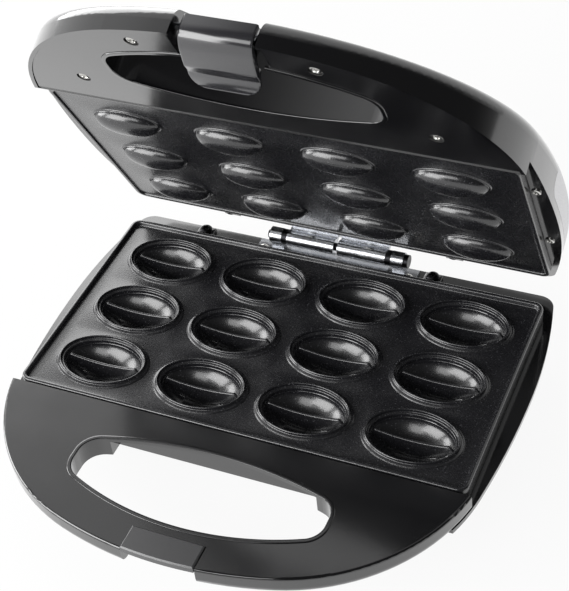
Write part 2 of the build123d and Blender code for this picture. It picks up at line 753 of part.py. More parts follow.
def latch():
    """Sprung-over catch: rolled top, flat face, undercut and a rounded finger tongue."""
    inner_y = latch_face_y + latch_wall
    step_z = -0.5
    tongue_z = -4.8
    tongue_y = latch_face_y + 1.4
    hook_top = cover_top - cover_thickness - 0.3
    top_z = latch_pivot_z + 7.0
    roll = make_face(Wire.combine([
        Line((0, latch_face_y, step_z), (0, latch_face_y, latch_pivot_z)),
        ThreePointArc((0, latch_face_y, latch_pivot_z), (0, latch_face_y + 2.9, top_z - 2.0),
                      (0, latch_pivot_y + 0.5, top_z)),
        Line((0, latch_pivot_y + 0.5, top_z), (0, latch_pivot_y + 0.5, top_z - latch_wall)),
        Line((0, latch_pivot_y + 0.5, top_z - latch_wall), (0, inner_y + 2.4, latch_pivot_z + 2)),
        Line((0, inner_y + 2.4, latch_pivot_z + 2), (0, inner_y, latch_pivot_z - 5)),
        Line((0, inner_y, latch_pivot_z - 5), (0, inner_y, hook_top)),
        Line((0, inner_y, hook_top), (0, inner_y + latch_hook_reach, hook_top)),
        Line((0, inner_y + latch_hook_reach, hook_top), (0, inner_y, hook_top - 3.2)),
        Line((0, inner_y, hook_top - 3.2), (0, inner_y, latch_tip_z)),
        Line((0, inner_y, latch_tip_z), (0, tongue_y, latch_tip_z)),
        Line((0, tongue_y, latch_tip_z), (0, tongue_y + 0.4, tongue_z)),
        Line((0, tongue_y + 0.4, tongue_z), (0, latch_face_y, step_z)),
    ])[0])
    body = extrude(roll, amount=latch_half_width, dir=(1, 0, 0), both=True)
    for side in (-1, 1):
        inner_x = latch_half_width - latch_corner_radius
        corner = block(sorted((side * inner_x, side * (latch_half_width + 1))),
                       (latch_face_y - 5, inner_y + 5),
                       (latch_tip_z - 1, latch_tip_z + latch_corner_radius))
        round_end = Pos(side * inner_x, latch_pivot_y, latch_tip_z + latch_corner_radius)
        body -= corner - round_end * Rot(90, 0, 0) * Cylinder(latch_corner_radius, 60)
        lug_x = sorted((side * (latch_half_width - 5), side * latch_half_width))
        lug = cross_rod(lug_x, latch_pivot_y, latch_pivot_z, latch_boss_radius)
        lug += block(lug_x, (inner_y, latch_pivot_y), (latch_pivot_z - latch_boss_radius,
                                                       latch_pivot_z + latch_boss_radius))
        body += lug
    return body - cross_rod((-30, 30), latch_pivot_y, latch_pivot_z, latch_pin_radius + pin_clearance)


def latch_pin():
    """Pin across the lid's notch that the latch turns on."""
    return cross_rod((-notch_half_width - 2, notch_half_width + 2), latch_pivot_y, latch_pivot_z,
                     latch_pin_radius)


def thermostat():
    """Disc thermostat under the plate's centre boss, with its flange and two tabs."""
    low = thermostat_seat - 6
    body = rod(0, 0, low, thermostat_seat, thermostat_radius)
    body += block((-11, 11), (-3, 3), (thermostat_seat - 1, thermostat_seat))
    for side in (-1, 1):
        body += block(sorted((side * 4.8, side * 6)), (-2.5, 2.5), (low - 6, low))
    return body


def thermal_fuse():
    """Fuse in its ceramic saddle, hung under the lower reflector."""
    level = reflector_level - 2.2
    return cross_rod((-46, -34), 0, level, 2.0) + block((-43, -37), (-4, 4), (level, reflector_level))


def terminal_block():
    """Two-way mains terminal on the tub's floor, near the cord's entry."""
    body = block((14, 46), (34, 46), (tub_floor_top, tub_floor_top + 9))
    return body - rods([(22, 40), (38, 40)], tub_floor_top + 5, tub_floor_top + 10, 2.2)


def rubber_foot(x, y):
    """Tapered rubber foot with its top let into the tub."""
    top = tub_floor_level + foot_recess
    foot = rod(x, y, tub_floor_level - foot_height, top, foot_radius)
    return chamfer(foot.edges().group_by(Axis.Z)[0], 1.2)


def build_base():
    """Everything that stays on the table."""
    pieces["base_housing"] = base_housing()
    pieces["base_handle_cover"] = base_handle_cover()
    pieces["latch_catch"] = latch_catch()
    pieces["base_plate"] = base_plate()
    pieces["base_heater"] = heater(-plate_thickness, 1)
    tray = reflector(reflector_level, 1)
    tray -= rod(0, 0, reflector_level - 5, reflector_level + 5, thermostat_radius + 3)
    pieces["base_reflector"] = tray
    pieces["thermostat"] = thermostat()
    pieces["thermal_fuse"] = thermal_fuse()
    pieces["terminal_block"] = terminal_block()
    pieces["cord_gland"] = cord_gland()
    names = ("foot_front_left", "foot_front_right", "foot_rear_left", "foot_rear_right")
    for name, (x, y) in zip(names, foot_places()):
        pieces[name] = rubber_foot(x, y)
    pieces["base_cover_screws"] = Compound([
        pan_screw(side * x, y, handle_floor_level + 1.6, cover_top - cover_thickness - 1, 1)
        for x, y in base_handle_screws for side in (-1, 1)])
    pieces["base_plate_screws"] = Compound([
        pan_screw(x, rear_screw_y, lug_top, handle_floor_level + 0.2, -1, 3.2, 2.4)
        for x in rear_screw_x])
    pieces["hinge_base_bracket"] = hinge_base_bracket()
    pieces["hinge_base_screws"] = Compound([
        pan_screw(x, y, flange_level + bracket_thickness, handle_floor_level + 0.2, -1, 2.6, 1.3)
        for x, y in base_hinge_screws()])
    pieces["hinge_pin"] = hinge_pin()
    for name, side in (("hinge_spacer_left", -1), ("hinge_spacer_right", 1)):
        ends = sorted((side * (long_knuckle_end + knuckle_gap), side * spacer_end))
        pieces[name] = barrel(*ends, radius=knuckle_radius - 0.15)


def build_lid():
    """Everything that turns with the lid, drawn shut."""
    lid = {}
    lid["lid_housing"] = lid_housing()
    lid["lid_top_panel"] = lid_top_panel()
    lid["lid_handle_cover"] = lid_handle_cover()
    lid["lid_plate"] = lid_plate()
    lid["lid_heater"] = heater(plate_gap + plate_thickness, -1)
    lid["lid_reflector"] = reflector(plate_gap + plate_thickness + 2 * heater_radius + 3.4, -1)
    lid["lid_cover_screws"] = Compound([
        pan_screw(side * x, y, lid_cover_level + lid_screw_seat, lid_bar_level + 7, 1)
        for x, y in lid_handle_screws for side in (-1, 1)])
    lid["lid_plate_screws"] = Compound([
        pan_screw(x, y, plate_gap + lid_skirt_depth - 1.5, lid_flange_level + 5, 1, 2.6, 1.6)
        for x, y in lid_plate_screws()])
    lid["lid_flange_screws"] = Compound([
        pan_screw(x, y, lid_flange_level, lid_flange_level + 5, 1, 2.2, 1.0)
        for x, y in flange_screws()])
    lid["hinge_lid_bracket"] = hinge_lid_bracket()
    lid["hinge_lid_screws"] = Compound([
        pan_screw(x, y, lid_flange_level - bracket_thickness, lid_flange_level + 5, 1, 2.2, 1.1)
        for x, y in lid_hinge_screws()])
    lid["latch_pin"] = latch_pin()
    for name, x in (("power_lamp_lens", -lamp_x), ("ready_lamp_lens", lamp_x)):
        skin = crown_level - lamp_y**2 / (2 * crown_radius_y)
        lid[name] = rod(x, lamp_y, skin - 6, skin + 0.6, lamp_radius)
    return lid


def open_lid(shape, angle=lid_open_deg):
    """Turn a lid piece open about the hinge."""
    return shape.rotate(Axis((0, hinge_y, hinge_z), (1, 0, 0)), -angle)


def build():
    """All pieces, with the lid at the angle at which it stands open."""
    build_base()
    for name, shape in build_lid().items():
        pieces[name] = open_lid(shape)
    hung = latch().rotate(Axis((0, latch_pivot_y, latch_pivot_z), (1, 0, 0)), latch_hang_deg)
    pieces["latch"] = open_lid(hung)


def place(shape, shift):
    """Move a finished piece to its place above the table."""
    return Pos(*shift) * shape


build()
low = [min(getattr(s.bounding_box().min, k) for s in pieces.values()) for k in "XYZ"]
high = [max(getattr(s.bounding_box().max, k) for s in pieces.values()) for k in "XYZ"]
shift = (-(low[0] + high[0]) / 2, -(low[1] + high[1]) / 2, -low[2])
os.makedirs("parts", exist_ok=True)
for name, shape in pieces.items():
    export_step(place(shape, shift), f"parts/{name}.step")
print("shift", [round(v, 4) for v in shift])
print("size", [round(h - b, 2) for h, b in zip(high, low)])
print("hinge", [0, round(hinge_y + shift[1], 4), round(hinge_z + shift[2], 4)])
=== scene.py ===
import json
from math import asin, atan2, cos, pi, radians, sin, sqrt

import bmesh
import bpy
import numpy as np
from mathutils import Matrix, Vector


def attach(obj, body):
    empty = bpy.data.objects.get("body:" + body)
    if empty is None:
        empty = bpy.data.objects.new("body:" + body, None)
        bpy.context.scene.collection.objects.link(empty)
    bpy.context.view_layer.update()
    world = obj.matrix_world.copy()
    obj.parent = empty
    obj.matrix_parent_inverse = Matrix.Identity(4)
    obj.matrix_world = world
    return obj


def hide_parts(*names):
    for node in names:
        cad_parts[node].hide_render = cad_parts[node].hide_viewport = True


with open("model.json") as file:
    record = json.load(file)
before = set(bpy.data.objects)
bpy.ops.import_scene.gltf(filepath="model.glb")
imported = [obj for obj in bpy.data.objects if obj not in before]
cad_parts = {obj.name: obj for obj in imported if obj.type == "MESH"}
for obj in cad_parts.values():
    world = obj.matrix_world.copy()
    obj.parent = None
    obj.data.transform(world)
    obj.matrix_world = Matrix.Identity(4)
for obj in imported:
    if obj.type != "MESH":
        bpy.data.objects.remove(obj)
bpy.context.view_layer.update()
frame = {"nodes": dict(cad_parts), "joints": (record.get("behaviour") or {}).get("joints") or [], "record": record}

bl_info = {
    "name": "Nut cookie maker",
    "version": (1, 0, 0),
    "blender": (4, 5, 0),
    "location": "View3D > Sidebar > Cookie maker",
    "description": "Dresses a hinged nut cookie maker that was drawn as a CAD assembly",
    "category": "Add Mesh",
}

JOINTS = {joint["name"]: joint for joint in frame["joints"]}
MM = 0.001
WELD_REACH = 2e-6

# Drawing frame: the middle of the lower plate's face, lid shut, in millimetres.
HINGE_Y, HINGE_Z = 70.8, 1.66
LATCH_Y, LATCH_Z = -130.5, 11.0
LATCH_HANG = radians(70.7)
LID_OPEN = radians(-JOINTS["lid_hinge"]["range_deg"][0])
SHIFT = np.array(JOINTS["lid_hinge"]["pos_m"]) / MM - (0.0, HINGE_Y, HINGE_Z)


# Places

def turned(points, y, z, angle):
    """Points turned by an angle about an axis along X: y and z change as in a plane turn."""
    out = np.array(points, float)
    dy, dz = out[..., 1] - y, out[..., 2] - z
    out[..., 1] = y + dy * cos(angle) - dz * sin(angle)
    out[..., 2] = z + dy * sin(angle) + dz * cos(angle)
    return out


def on_base(points):
    """Drawing frame to the frame of the whole object, in metres."""
    return (np.asarray(points, float) + SHIFT) * MM


def on_lid(points):
    """The same for a point of the lid, turned open about the hinge."""
    return on_base(turned(points, HINGE_Y, HINGE_Z, -LID_OPEN))


def on_latch(points):
    """The same for the latch, which hangs from its pin on the open lid."""
    return on_lid(turned(points, LATCH_Y, LATCH_Z, LATCH_HANG))


# Surfaces

def grid_faces(rows, columns, wrap_rows, wrap_columns):
    """Corner numbers of a grid's faces; a wrapped side joins its last line to its first."""
    r, c = np.meshgrid(
        np.arange(rows - (not wrap_rows)), np.arange(columns - (not wrap_columns)), indexing="ij"
    )
    r2, c2 = (r + 1) % rows, (c + 1) % columns
    return np.stack([r * columns + c, r * columns + c2, r2 * columns + c2, r2 * columns + c], -1)


def make_piece(name, grids, body, finish, stands_for=(), crease=35.0):
    """Weld grids of points, given in metres, into one closed mesh that rides on a body."""
    points, faces, start = [], [], 0
    for grid, wrap_rows, wrap_columns in grids:
        rows, columns = grid.shape[:2]
        points.append(grid.reshape(-1, 3))
        faces.append(grid_faces(rows, columns, wrap_rows, wrap_columns).reshape(-1, 4) + start)
        start += rows * columns
    points, faces = np.concatenate(points), np.concatenate(faces)
    mesh = bpy.data.meshes.new(name)
    mesh.vertices.add(len(points))
    mesh.vertices.foreach_set("co", points.astype(np.float32).ravel())
    mesh.loops.add(faces.size)
    mesh.loops.foreach_set("vertex_index", faces.astype(np.int32).ravel())
    mesh.polygons.add(len(faces))
    mesh.polygons.foreach_set("loop_start", np.arange(0, faces.size, 4, dtype=np.int32))
    mesh.update(calc_edges=True)
    shape = bmesh.new()
    shape.from_mesh(mesh)
    bmesh.ops.remove_doubles(shape, verts=shape.verts, dist=WELD_REACH)
    bmesh.ops.recalc_face_normals(shape, faces=shape.faces)
    shape.to_mesh(mesh)
    shape.free()
    mesh.shade_smooth()
    mesh.set_sharp_from_angle(angle=radians(crease))
    piece = bpy.data.objects.new(name, mesh)
    bpy.context.scene.collection.objects.link(piece)
    mesh.materials.append(finish)
    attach(piece, body)
    if stands_for:
        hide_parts(*stands_for)
    return piece


def smooth_step(x, low, high):
    """0 below low, 1 above high, and a cubic ease between them."""
    t = np.clip((x - low) / (high - low), 0, 1)
    return t * t * (3 - 2 * t)


def soft_max(a, b, width):
    """The larger of two heights, with the crease between them rounded over a width."""
    return (a + b + np.sqrt((a - b) ** 2 + width**2)) / 2


def rounded_path(corners, radii, steps=5):
    """Points along straight runs whose corners are eased by parabolas of a given reach."""
    corners = np.array(corners, float)
    out = [corners[0]]
    t = np.linspace(0, 1, steps)[:, None]
    for before, at, after, reach in zip(corners, corners[1:], corners[2:], radii):
        back, on = before - at, after - at
        back_length, on_length = np.linalg.norm(back), np.linalg.norm(on)
        a = at + back / back_length * min(reach, back_length * 0.49)
        b = at + on / on_length * min(reach, on_length * 0.49)
        out.extend((1 - t) ** 2 * a + 2 * t * (1 - t) * at + t**2 * b)
    out.append(corners[-1])
    return np.array(out)


def lathe(profile, steps=48):
    """Grid of a profile of radius and height carried round the Z axis."""
    profile = np.array(profile, float)
    angle = np.linspace(0, 2 * pi, steps, endpoint=False)
    radius, height = profile[:, :1], profile[:, 1:]
    return np.stack([radius * np.cos(angle), radius * np.sin(angle), height + 0 * angle], -1)


def aimed(points, place, along):
    """Points drawn along Z, turned to a direction and moved to a place."""
    along = np.array(along, float) / np.linalg.norm(along)
    side = np.cross(along, (0, 0, 1) if abs(along[2]) < 0.9 else (1, 0, 0))
    side /= np.linalg.norm(side)
    return points @ np.stack([side, np.cross(along, side), along]) + np.array(place, float)


def arc_points(segments, steps):
    """Centres, radii and outward normals along a chain of arcs in plan."""
    centres, radii, normals = [], [], []
    for (x, y), radius, start, end in segments:
        angle = np.linspace(start, end, steps)
        centres.append(np.tile((x, y), (steps, 1)))
        radii.append(np.full(steps, radius))
        normals.append(np.stack([np.cos(angle), np.sin(angle)], 1))
    return np.concatenate(centres), np.concatenate(radii), np.concatenate(normals)


def carried(chain, profile):
    """Grid of a profile of outward offset and level carried along a chain of arcs."""
    centres, radii, normals = chain
    profile = np.array(profile, float)
    reach = radii[None, :] + profile[:, :1]
    flat = centres[None] + normals[None] * reach[..., None]
    level = np.broadcast_to(profile[:, 1:], reach.shape)
    return np.concatenate([flat, level[..., None]], -1)


# Baking plates

PLATE_HALF = (110.0, 61.0)
PLATE_CORNER = 5.0
PLATE_UNDERSIDE = -3.0
UPPER_FACE = 5.5
LOWER_SKIRT, LOWER_RIM = 6.0, 2.45
UPPER_SKIRT, UPPER_RIM = 3.5, 1.0
LUG_HALF = 4.5
LOWER_LUGS = (-73.0, 51.0)
UPPER_LUGS = (-60.0, 60.0)
PITCH = (51.67, 37.22)
COLLAR_FOOT = (23.2, 16.8)
BOWL = (19.4, 13.0)
BOWL_EDGE, BOWL_FLOOR = -1.2, -10.0
FLOOR_SHARE, FLOOR_BORDER = 0.98, -1.95
RIDGE_LOW, RIDGE_SAG, RIDGE_ROUND = -1.3, 82.0, 0.8
RIDGE_SLOPE = 5.9
DOME = (16.4, 9.0)
DOME_FOOT, DOME_HEIGHT = 0.2, 6.3
DOME_RING = (
    (17.9, 10.5, 0.0), (17.7, 10.3, 0.03), (17.52, 10.12, 0.14), (17.4, 10.0, 0.34),
    (17.26, 9.86, 0.52), (17.08, 9.68, 0.6), (16.88, 9.48, 0.58), (16.7, 9.3, 0.48),
    (16.58, 9.18, 0.4), (16.48, 9.08, 0.46),
)


def mould_bearings(quarter_steps=11):
    """Eccentric angles round a mould, with one aimed at each corner of its cell."""
    corner = atan2(PITCH[1] / 2 / COLLAR_FOOT[1], PITCH[0] / 2 / COLLAR_FOOT[0])
    quarter = np.concatenate([
        np.linspace(0, corner, quarter_steps + 1), np.linspace(corner, pi / 2, quarter_steps + 1)
    ])
    around = np.concatenate([quarter, pi - quarter, pi + quarter, 2 * pi - quarter])
    around = np.unique(np.round(around, 9))
    return around[around < 2 * pi - 1e-6]


def cell_edge(bearings):
    """Where the rays from a mould's centre meet the edge of its rectangular cell."""
    x, y = COLLAR_FOOT[0] * np.cos(bearings), COLLAR_FOOT[1] * np.sin(bearings)
    scale = 1 / np.maximum(np.abs(x) / (PITCH[0] / 2), np.abs(y) / (PITCH[1] / 2))
    return np.stack([x * scale, y * scale], 1)


def mould_rings(sections, bearings, level):
    """Grid from the edge of a cell inwards through level ellipses."""
    edge = cell_edge(bearings)
    rows = [np.column_stack([edge, np.full(len(bearings), level)])]
    for a, b, z in sections:
        rows.append(np.column_stack([
            a * np.cos(bearings), b * np.sin(bearings), np.full(len(bearings), z)
        ]))
    return np.array(rows)


def mould_places():
    """Centres of the twelve moulds."""
    return [((i - 1.5) * PITCH[0], (j - 1) * PITCH[1]) for j in range(3) for i in range(4)]


def bowl_level(x, y):
    """Bowl: r is the share of the way out to the edge. A steep wall drops to the floor's
    border at r = 0.98, and the floor sinks from there by (1 - r squared) to the power 0.8."""
    r = np.clip(np.hypot(x / BOWL[0], y / BOWL[1]), 0, 1)
    wall = BOWL_EDGE + (r - 1) / (1 - FLOOR_SHARE) * (BOWL_EDGE - FLOOR_BORDER)
    sunk = np.clip(1 - (r / FLOOR_SHARE) ** 2, 0, 1) ** 0.8
    floor = FLOOR_BORDER + (BOWL_FLOOR - FLOOR_BORDER) * sunk
    return soft_max(wall, floor, 0.1)


def ridge_level(x, y):
    """Ridge: a round crest that sags on a wide arc and dips at the bowl's ends. Its section is
    an arc as far as the arc is as steep as the sides, and straight from there."""
    crest = RIDGE_LOW + x**2 / (2 * RIDGE_SAG)
    crest = crest - 3.0 * smooth_step(np.abs(x), BOWL[0] - 2.2, BOWL[0])
    near = np.minimum(np.abs(y), RIDGE_ROUND * RIDGE_SLOPE / sqrt(1 + RIDGE_SLOPE**2))
    crown = RIDGE_ROUND - np.sqrt(RIDGE_ROUND**2 - near**2)
    return crest - crown - RIDGE_SLOPE * (np.abs(y) - near)


def bowl_halves(bearings):
    """Two grids a bowl: each runs from the edge to the ridge in lines along X, which lie
    closest at the edge and over the crest."""
    shares = np.array([1, 0.994, 0.987, 0.98, 0.97, 0.95, 0.92, 0.88, 0.82, 0.74, 0.64, 0.54,
                       0.44, 0.35, 0.27, 0.21, 0.165, 0.13, 0.105, 0.085, 0.07, 0.06, 0.053, 0.049,
                       0.045, 0.038, 0.03, 0.02, 0.01, 0])[:, None]
    grids = []
    for side in (0, 1):
        angle = bearings[(bearings >= side * pi - 1e-6) & (bearings <= (side + 1) * pi + 1e-6)]
        if side:
            angle = np.append(angle, 2 * pi)
        x = BOWL[0] * np.cos(angle) + 0 * shares
        y = BOWL[1] * np.sin(angle) * shares
        z = soft_max(bowl_level(x, y), ridge_level(x, y), 0.3)
        ends = smooth_step(np.hypot(x / BOWL[0], y / BOWL[1]), 0.98, 1)
        grids.append(np.stack([x, y, z + (BOWL_EDGE - z) * ends], -1))
    return grids


COLLAR_SECTIONS = (
    (23.8, 17.4, 0.0), (23.66, 17.26, 0.02), (23.56, 17.16, 0.1), (23.51, 17.11, 0.24),
    (23.44, 17.04, 0.38), (23.32, 16.92, 0.5), (23.15, 16.75, 0.58), (22.9, 16.5, 0.64),
    (22.5, 16.1, 0.76), (22.2, 15.8, 0.92), (22.05, 15.65, 1.12), (21.97, 15.57, 1.45),
    (21.9, 15.5, 1.78), (21.8, 15.4, 1.98), (21.64, 15.24, 2.13), (21.44, 15.04, 2.2),
    (21.24, 14.84, 2.16), (21.1, 14.7, 2.02), (21.02, 14.62, 1.8), (20.97, 14.57, 1.3),
    (20.92, 14.5, 0.85), (20.75, 14.3, 0.68), (20.45, 14.0, 0.62), (20.15, 13.7, 0.6),
    (19.95, 13.5, 0.54), (19.8, 13.36, 0.36), (19.7, 13.27, 0.1), (19.62, 13.2, -0.3),
    (19.5, 13.1, -0.8), (BOWL[0], BOWL[1], BOWL_EDGE),
)
CUP_WALL, CUP_DEPTH = 2.0, 10.8
CUP_SECTIONS = tuple(
    ((BOWL[0] + CUP_WALL) * size, (BOWL[1] + CUP_WALL) * size, BOWL_EDGE - CUP_DEPTH * depth)
    for depth, size in (
        (0.167, 1.0), (0.35, 0.965), (0.66, 0.85), (0.88, 0.63), (1.0, 0.3), (1.0, 0.0),
    )
)


def plate_border(bearings):
    """Points round the block of moulds, paired with the rim's arc centres and normals: a run
    of points per side and one point, turned through a right angle, per corner."""
    edge = cell_edge(bearings)
    along_x = np.unique(np.round(edge[np.abs(edge[:, 1] - PITCH[1] / 2) < 1e-6, 0], 6))
    along_y = np.unique(np.round(edge[np.abs(edge[:, 0] - PITCH[0] / 2) < 1e-6, 1], 6))
    xs = np.unique(np.round(np.concatenate([(i - 1.5) * PITCH[0] + along_x for i in range(4)]), 5))
    ys = np.unique(np.round(np.concatenate([(j - 1) * PITCH[1] + along_y for j in range(3)]), 5))
    core = (PLATE_HALF[0] - PLATE_CORNER, PLATE_HALF[1] - PLATE_CORNER)
    inner, centre, normal = [], [], []
    for quarter in range(4):
        turn = quarter * pi / 2
        run = (ys, xs, ys, xs)[quarter]
        run = run if quarter in (0, 3) else run[::-1]
        sign_x, sign_y = ((1, 1), (1, 1), (-1, -1), (-1, -1))[quarter]
        for value in run:
            if quarter % 2 == 0:
                inner.append((sign_x * xs[-1], value))
                centre.append((sign_x * core[0], value))
            else:
                inner.append((value, sign_y * ys[-1]))
                centre.append((value, sign_y * core[1]))
            normal.append((cos(turn), sin(turn)))
        corner_x, corner_y = ((1, 1), (-1, 1), (-1, -1), (1, -1))[quarter]
        for angle in np.linspace(turn, turn + pi / 2, 8):
            inner.append((corner_x * xs[-1], corner_y * ys[-1]))
            centre.append((corner_x * core[0], corner_y * core[1]))
            normal.append((cos(angle), sin(angle)))
    return np.array(inner), np.array(centre), np.array(normal)


# Rim bead: inset from the plate's edge, and share of the bead's height.
BEAD = ((3.3, 0.0), (2.85, 0.02), (2.55, 0.114), (2.42, 0.286), (2.4, 0.53), (2.28, 0.755),
        (1.95, 0.922), (1.5, 0.988), (1.2, 1.0), (0.75, 0.98), (0.3, 0.865), (0.05, 0.673),
        (0.0, 0.45), (0.0, 0.0))


def plate_rim(bearings, skirt_depth, height):
    """Rim bead and skirt: a profile carried round the plate, from the face to the underside."""
    inner, centre, normal = plate_border(bearings)
    profile = [(inset, share * height) for inset, share in BEAD] + [
        (0.0, -skirt_depth + 0.7), (0.2, -skirt_depth + 0.2), (0.7, -skirt_depth),
        (2.0, -skirt_depth), (2.45, -skirt_depth + 0.15), (2.6, -skirt_depth + 0.4),
        (2.65, PLATE_UNDERSIDE - 0.1), (3.0, PLATE_UNDERSIDE),
    ]
    rows = [np.column_stack([inner, np.zeros(len(inner))])]
    for inset, level in profile:
        at = centre + normal * (PLATE_CORNER - inset)
        rows.append(np.column_stack([at, np.full(len(at), level)]))
    rows.append(np.column_stack([inner, np.full(len(inner), PLATE_UNDERSIDE)]))
    return np.array(rows)


def spread(grids, places):
    """Copies of grids at places in plan."""
    return [(grid + (x, y, 0), False, wrap) for x, y in places for grid, wrap in grids]


def eased_block(low, high, ease):
    """Closed grid of a box whose corners and edges are eased: an inset outline per level, and
    one point in the middle of the bottom and the top."""
    low, high = np.array(low, float), np.array(high, float)
    middle, half = (low + high) / 2, (high - low) / 2
    radius = ease * 1.2
    quarter = np.linspace(0, pi / 2, 5)
    corners = ((1, 1), (-1, 1), (-1, -1), (1, -1))
    outline = [(sign, quarter + turn * pi / 2) for turn, sign in enumerate(corners)]
    rows = [(ease, low[2]), (ease * 0.3, low[2] + ease * 0.3), (0, low[2] + ease),
            (0, high[2] - ease), (ease * 0.3, high[2] - ease * 0.3), (ease, high[2])]
    grid = [np.tile((middle[0], middle[1], low[2]), (4 * len(quarter), 1))]
    for inset, level in rows:
        line = []
        for (sign_x, sign_y), angle in outline:
            x = middle[0] + sign_x * (half[0] - radius) + (radius - inset) * np.cos(angle)
            y = middle[1] + sign_y * (half[1] - radius) + (radius - inset) * np.sin(angle)
            line.append(np.column_stack([x, y, np.full(len(quarter), level)]))
        grid.append(np.concatenate(line))
    grid.append(np.tile((middle[0], middle[1], high[2]), (4 * len(quarter), 1)))
    return np.array(grid)


def lugs(places, front, rear, low, high, ease):
    """Blocks at the plate's rear edge that its screws go through."""
    return [(eased_block((x - LUG_HALF, front, low), (x + LUG_HALF, rear, high), ease), False, True)
            for x in places]


def lower_plate_grids():
    """Lower plate: rim, collars, bowls with ridges, cups on the underside and rear lugs."""
    bearings = mould_bearings()
    face = mould_rings(COLLAR_SECTIONS, bearings, 0.0)
    cup_root = (BOWL[0] + CUP_WALL, BOWL[1] + CUP_WALL, PLATE_UNDERSIDE)
    under = mould_rings((cup_root,) + CUP_SECTIONS, bearings, PLATE_UNDERSIDE)
    halves = [(half, False) for half in bowl_halves(bearings)]
    grids = spread([(face, True), (under, True)] + halves, mould_places())
    grids.append((plate_rim(bearings, LOWER_SKIRT, LOWER_RIM), False, True))
    grids += lugs(LOWER_LUGS, 59.5, 71.8, -6.0, -3.5, 0.4)
    return [(on_base(grid), rows, columns) for grid, rows, columns in grids]


def dome_sections():
    """Foot ring, then a dome: at the share h of its height, its width is the root of
    1 - h to the power 2.2."""
    sections = list(DOME_RING)
    for h in np.sin(np.linspace(0.06, pi / 2, 20)):
        size = (1 - h**2.2) ** 0.5 if h < 1 else 0.0
        sections.append((DOME[0] * size, DOME[1] * size, DOME_FOOT + DOME_HEIGHT * h))
    return sections


def upper_plate_grids():
    """Upper plate: rim and twelve domes, drawn face up and then turned over."""
    bearings = mould_bearings()
    face = mould_rings(dome_sections(), bearings, 0.0)
    flat = ((18.0, 11.0, PLATE_UNDERSIDE), (0.0, 0.0, PLATE_UNDERSIDE))
    under = mould_rings(flat, bearings, PLATE_UNDERSIDE)
    grids = spread([(face, True), (under, True)], mould_places())
    grids.append((plate_rim(bearings, UPPER_SKIRT, UPPER_RIM), False, True))
    grids += lugs(UPPER_LUGS, -71.0, -59.5, -3.5, -2.0, 0.3)
    turned_over = np.array((1, -1, -1))
    return [(on_lid(grid * turned_over + (0, 0, UPPER_FACE)), rows, columns)
            for grid, rows, columns in grids]


# Small hardware

def cross_recess(x, y, reach, depth):
    """Depth of a cross recess: the deeper of two arms at right angles. The sides of an arm
    slope in from 0.34 to 0.16 of its reach, and its end from the full reach to 0.55 of it."""
    arms = [smooth_step(-np.abs(b), -0.34 * reach, -0.16 * reach)
            * smooth_step(-np.abs(a), -reach, -0.55 * reach) for a, b in ((x, y), (y, x))]
    return depth * np.maximum(arms[0], arms[1])


def cross_screw(radius, height, shank, length, turn):
    """Pan-head screw over a plain shank. Its top falls by half its height times the share of
    the radius to the power 4, less a cross recess that is turned by an angle."""
    steps = 64
    share = np.concatenate([np.linspace(0, 0.8, 19), (0.87, 0.93, 0.97, 0.99, 1.0)])[:, None]
    angle = np.linspace(0, 2 * pi, steps, endpoint=False)
    x, y = radius * share * np.cos(angle), radius * share * np.sin(angle)
    u, v = x * cos(turn) - y * sin(turn), x * sin(turn) + y * cos(turn)
    top = height * (1 - 0.5 * share**4) - cross_recess(u, v, radius * 0.62, height * 0.6)
    head = np.stack([x, y, top], -1)
    under = lathe(
        [(radius, height * 0.45), (radius, 0), (shank, 0), (shank, -length), (0, -length)], steps)
    return [(head, False, True), (under, False, True)]


def placed(grids, seat, place, along):
    """Grids drawn along Z, aimed and set on a body."""
    return [(seat(aimed(grid, place, along)), rows, columns) for grid, rows, columns in grids]


def both_sides(places, level):
    """Places in the right half, repeated on the left, at one level."""
    return [(side * x, y, level) for x, y in places for side in (-1, 1)]


SHANK = 1.45


def hardware():
    """Every set of screws: its node, body, slot, seat, places, sizes of head and shank, and
    direction."""
    lower_lug_screws = [(x, 68.6, -3.5) for x in LOWER_LUGS]
    upper_lug_screws = [(x, 65.6, 7.5) for x in UPPER_LUGS]
    down, up = (0, 0, -1), (0, 0, 1)
    return (
        ("lid_cover_screws", "lid", "bright_screw", on_lid,
         both_sides(((39.4, -126.1), (79.7, -83.0)), 4.6), (2.8, 1.2, SHANK, 6.0), down),
        ("base_cover_screws", "base", "bright_screw", on_base,
         both_sides(((40.0, -121.5), (81.0, -78.0)), -6.7), (2.8, 1.2, SHANK, 5.0), down),
        ("base_plate_screws", "base", "black_screw", on_base,
         lower_lug_screws, (3.2, 2.4, SHANK, 3.5), up),
        ("hinge_base_screws", "base", "bright_screw", on_base,
         [(-39, 65.6, -4.5), (39, 65.6, -4.5)], (2.6, 1.3, SHANK, 3.0), up),
        ("lid_plate_screws", "lid", "black_screw", on_lid,
         upper_lug_screws, (2.6, 1.6, SHANK, 5.0), down),
        ("lid_flange_screws", "lid", "bright_screw", on_lid,
         both_sides(((112.7, -32.7), (112.7, 21.7)), 9.0), (2.2, 1.0, SHANK, 4.0), down),
        ("hinge_lid_screws", "lid", "bright_screw", on_lid,
         [(-16, 64.4, 7.5), (16, 64.4, 7.5)], (2.2, 1.1, SHANK, 5.0), down),
    )


FEET = (("foot_front_left", -82, -38), ("foot_front_right", 82, -38),
        ("foot_rear_left", -82, 50), ("foot_rear_right", 82, 50))
TABLE_LEVEL = -40.0


def foot_grid():
    """Rubber foot: a tapered disc with a shallow dish in its sole."""
    return lathe([(0, 5.5), (7.3, 5.5), (7.5, 5.3), (7.5, 3.6), (7.35, 3.2), (6.9, 0.5), (6.5, 0.1),
                  (6.1, 0.0), (4.9, 0.0), (4.5, 0.4), (4.3, 0.7), (0, 0.8)], 56)


